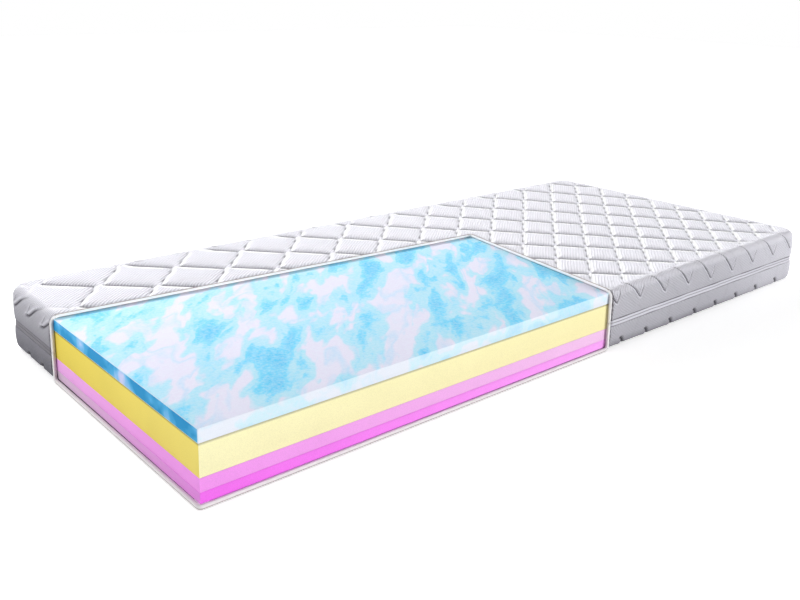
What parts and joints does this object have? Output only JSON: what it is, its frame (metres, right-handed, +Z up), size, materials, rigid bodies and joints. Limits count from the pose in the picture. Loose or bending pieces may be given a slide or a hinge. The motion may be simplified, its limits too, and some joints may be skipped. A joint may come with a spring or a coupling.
{
  "type": "memory foam mattress",
  "caption": "Foam mattress in a white quilted zip cover, with a bound window cut at a corner that bares the marbled memory foam and the coloured foam boards below it.",
  "frame": {"origin": "middle of the flat underside", "axes": "+X along the length from the foot end with the window, +Y from the window's long side to the hidden long side, +Z up"},
  "size_m": [2.0004, 0.9035, 0.1516],
  "materials": {
    "memory_foam": "open-cell memory foam, sky blue marbled with white and pale lilac, matt",
    "comfort_foam": "open-cell foam, pale yellow, fine grain, matt",
    "support_foam": "open-cell foam, light pink, fine grain, matt",
    "base_foam": "open-cell foam, deep pink, fine grain, matt",
    "knit": "white ribbed knit, quilted",
    "wadding": "white polyester wadding",
    "lining": "thin white backing cloth",
    "zip_tape": "woven white tape",
    "zip_coil": "white nylon coil",
    "binding": "white folded binding tape",
    "zip_metal": "nickel-plated, satin"
  },
  "bodies": {
    "mattress": {"base_foam": "base_foam", "support_foam": "support_foam", "comfort_foam": "comfort_foam", "marbled_memory_foam": "memory_foam", "upper_quilted_knit": "knit", "upper_wadding": "wadding", "upper_lining": "lining", "lower_quilted_knit": "knit", "lower_wadding": "wadding", "lower_lining": "lining", "upper_zip_tape": "zip_tape", "lower_zip_tape": "zip_tape", "upper_zip_coil": "zip_coil", "lower_zip_coil": "zip_coil", "upper_zip_coil_at_foot": "zip_coil", "lower_zip_coil_at_foot": "zip_coil", "zip_closed_end_stop": "zip_metal", "zip_start_stop": "zip_metal", "upper_window_binding": "binding", "lower_window_binding": "binding"},
    "slider": {"zip_slider": "zip_metal"},
    "pull_tab": {"zip_pull_tab": "zip_metal"}
  },
  "joints": [
    {"name": "zip_slide", "type": "slide", "parent": "mattress", "child": "slider", "axis": [1, 0, 0], "range_m": [0, 1.82]},
    {"name": "pull_tab_hinge", "type": "hinge", "parent": "slider", "child": "pull_tab", "pos_m": [-0.9022, 0.4504, 0.067], "axis": [0, 0, -1], "range_deg": [0, 180]}
  ]
}
